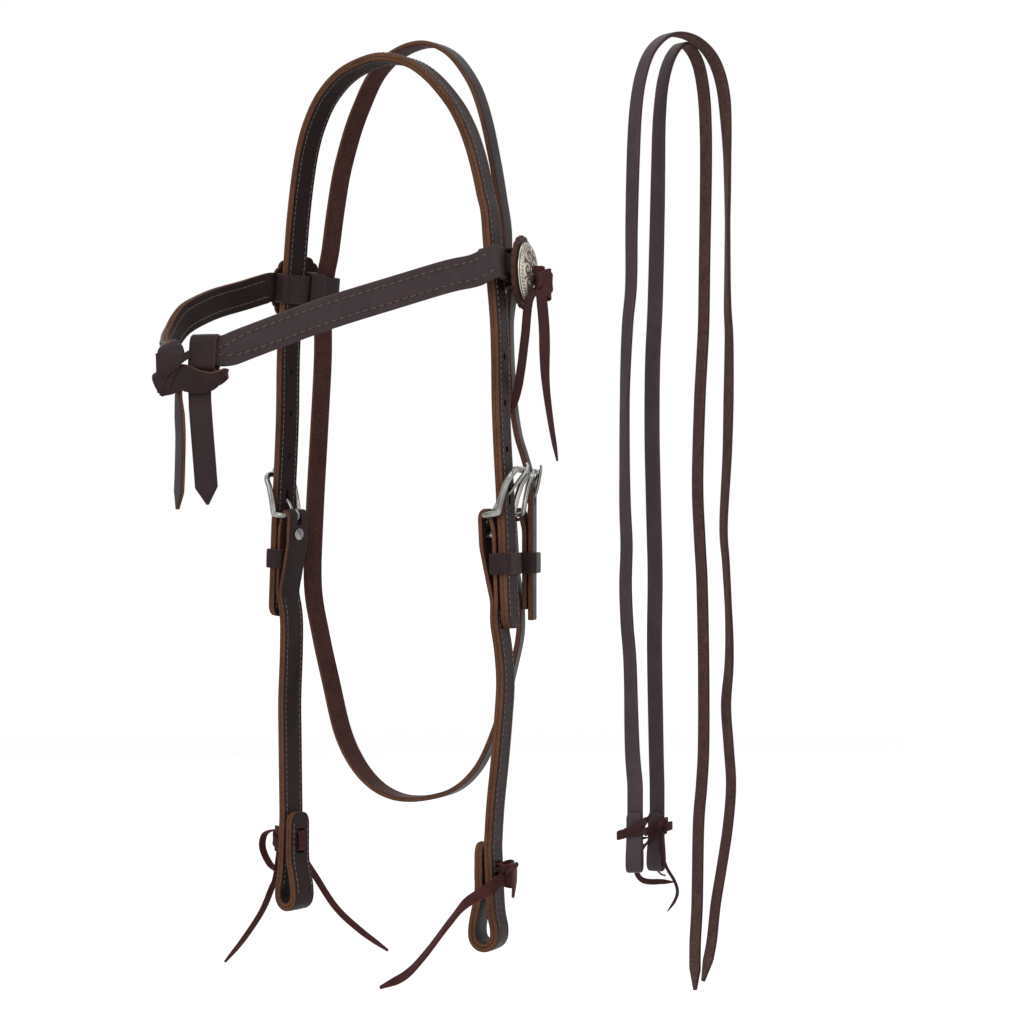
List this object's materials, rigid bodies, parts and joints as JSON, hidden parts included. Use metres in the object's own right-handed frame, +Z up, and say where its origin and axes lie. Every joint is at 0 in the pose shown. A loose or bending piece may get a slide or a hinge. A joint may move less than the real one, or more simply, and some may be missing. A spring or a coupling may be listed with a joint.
{
  "type": "leather bridle",
  "caption": "Western headstall with a futurity-knot browband, conchos, throatlatch and laced bit ends, with split reins over a hook beside it.",
  "frame": {"origin": "under the top of the crown strap, where a peg or a horse's poll carries the headstall, in the middle between the cheeks", "axes": "+Z up, -Y the way the horse faces, +X its near (left) side, where the throatlatch buckles and the reins hang"},
  "size_m": [0.2564, 0.3327, 0.5546],
  "materials": {
    "dark_leather": "dark oiled bridle leather, semi-gloss",
    "lining_leather": "brown lining leather, matt",
    "flesh_leather": "dark leather with its brown flesh side showing, matt",
    "latigo_lace": "burgundy latigo lace, waxed",
    "nickel": "bright bent wire",
    "antique_silver": "engraved and darkened in its recesses"
  },
  "bodies": {
    "headstall": {"crown_lining_ply": "lining_leather", "crown_outer_ply": "dark_leather", "near_bit_lace": "latigo_lace", "near_cheek_buckle_frame": "nickel", "near_lower_cheek": "dark_leather", "near_screw_cap": "nickel", "near_screw_post": "nickel", "off_bit_lace": "latigo_lace", "off_cheek_buckle_frame": "nickel", "off_lower_cheek": "dark_leather", "off_screw_cap": "nickel", "off_screw_post": "nickel", "throat_buckle_frame": "nickel", "throatlatch_strap": "flesh_leather"},
    "near_tongue": {"near_cheek_buckle_tongue": "nickel"},
    "off_tongue": {"off_cheek_buckle_tongue": "nickel"},
    "throat_tongue": {"throat_buckle_tongue": "nickel"},
    "near_keeper": {"near_cheek_keeper": "dark_leather"},
    "off_keeper": {"off_cheek_keeper": "dark_leather"},
    "throat_keeper_body": {"throat_keeper": "dark_leather"},
    "browband": {"browband_near_lining": "lining_leather", "browband_near_outer": "dark_leather", "browband_off_lining": "lining_leather", "browband_off_outer": "dark_leather", "knot_cross_strip": "dark_leather", "knot_left_tail": "dark_leather", "knot_lower_wrap": "dark_leather", "knot_right_tail": "dark_leather", "knot_side_band": "dark_leather", "knot_upper_wrap": "dark_leather", "near_browband_loop": "dark_leather", "near_concho": "antique_silver", "near_concho_lace": "latigo_lace", "near_loop_keeper": "dark_leather", "near_rosette": "dark_leather", "off_browband_loop": "dark_leather", "off_concho": "antique_silver", "off_concho_lace": "latigo_lace", "off_loop_keeper": "dark_leather", "off_rosette": "dark_leather"},
    "reins": {"rein_one": "dark_leather", "rein_one_lace": "latigo_lace", "rein_two": "dark_leather", "rein_two_lace": "latigo_lace"}
  },
  "joints": [
    {"name": "near_tongue_swing", "type": "hinge", "parent": "headstall", "child": "near_tongue", "pos_m": [0.09293, -0.00407, -0.26156], "axis": [-0.4366, 0.8992, -0.0293], "range_deg": [0, 6]},
    {"name": "off_tongue_swing", "type": "hinge", "parent": "headstall", "child": "off_tongue", "pos_m": [-0.09211, 0.00145, -0.26162], "axis": [0.1557, -0.9877, -0.0105], "range_deg": [0, 6]},
    {"name": "throat_tongue_swing", "type": "hinge", "parent": "headstall", "child": "throat_tongue", "pos_m": [0.08753, 0.02125, -0.261], "axis": [-0.5878, 0.809, 0], "range_deg": [0, 8]},
    {"name": "near_keeper_slide", "type": "slide", "parent": "headstall", "child": "near_keeper", "axis": [-0.051, 0, 0.9987], "range_m": [-0.0025, 0.006]},
    {"name": "off_keeper_slide", "type": "slide", "parent": "headstall", "child": "off_keeper", "axis": [0.051, 0, 0.9987], "range_m": [-0.0025, 0.006]},
    {"name": "throat_keeper_slide", "type": "slide", "parent": "headstall", "child": "throat_keeper_body", "axis": [0, 0, 1], "range_m": [-0.003, 0.006]},
    {"name": "browband_slide", "type": "slide", "parent": "headstall", "child": "browband", "axis": [0, 0, 1], "range_m": [-0.001, 0.003]},
    {"name": "rein_swing", "type": "hinge", "parent": "headstall", "child": "reins", "pos_m": [0.1036, 0.1278, 0], "axis": [1, 0, 0], "range_deg": [-8, 25]}
  ]
}
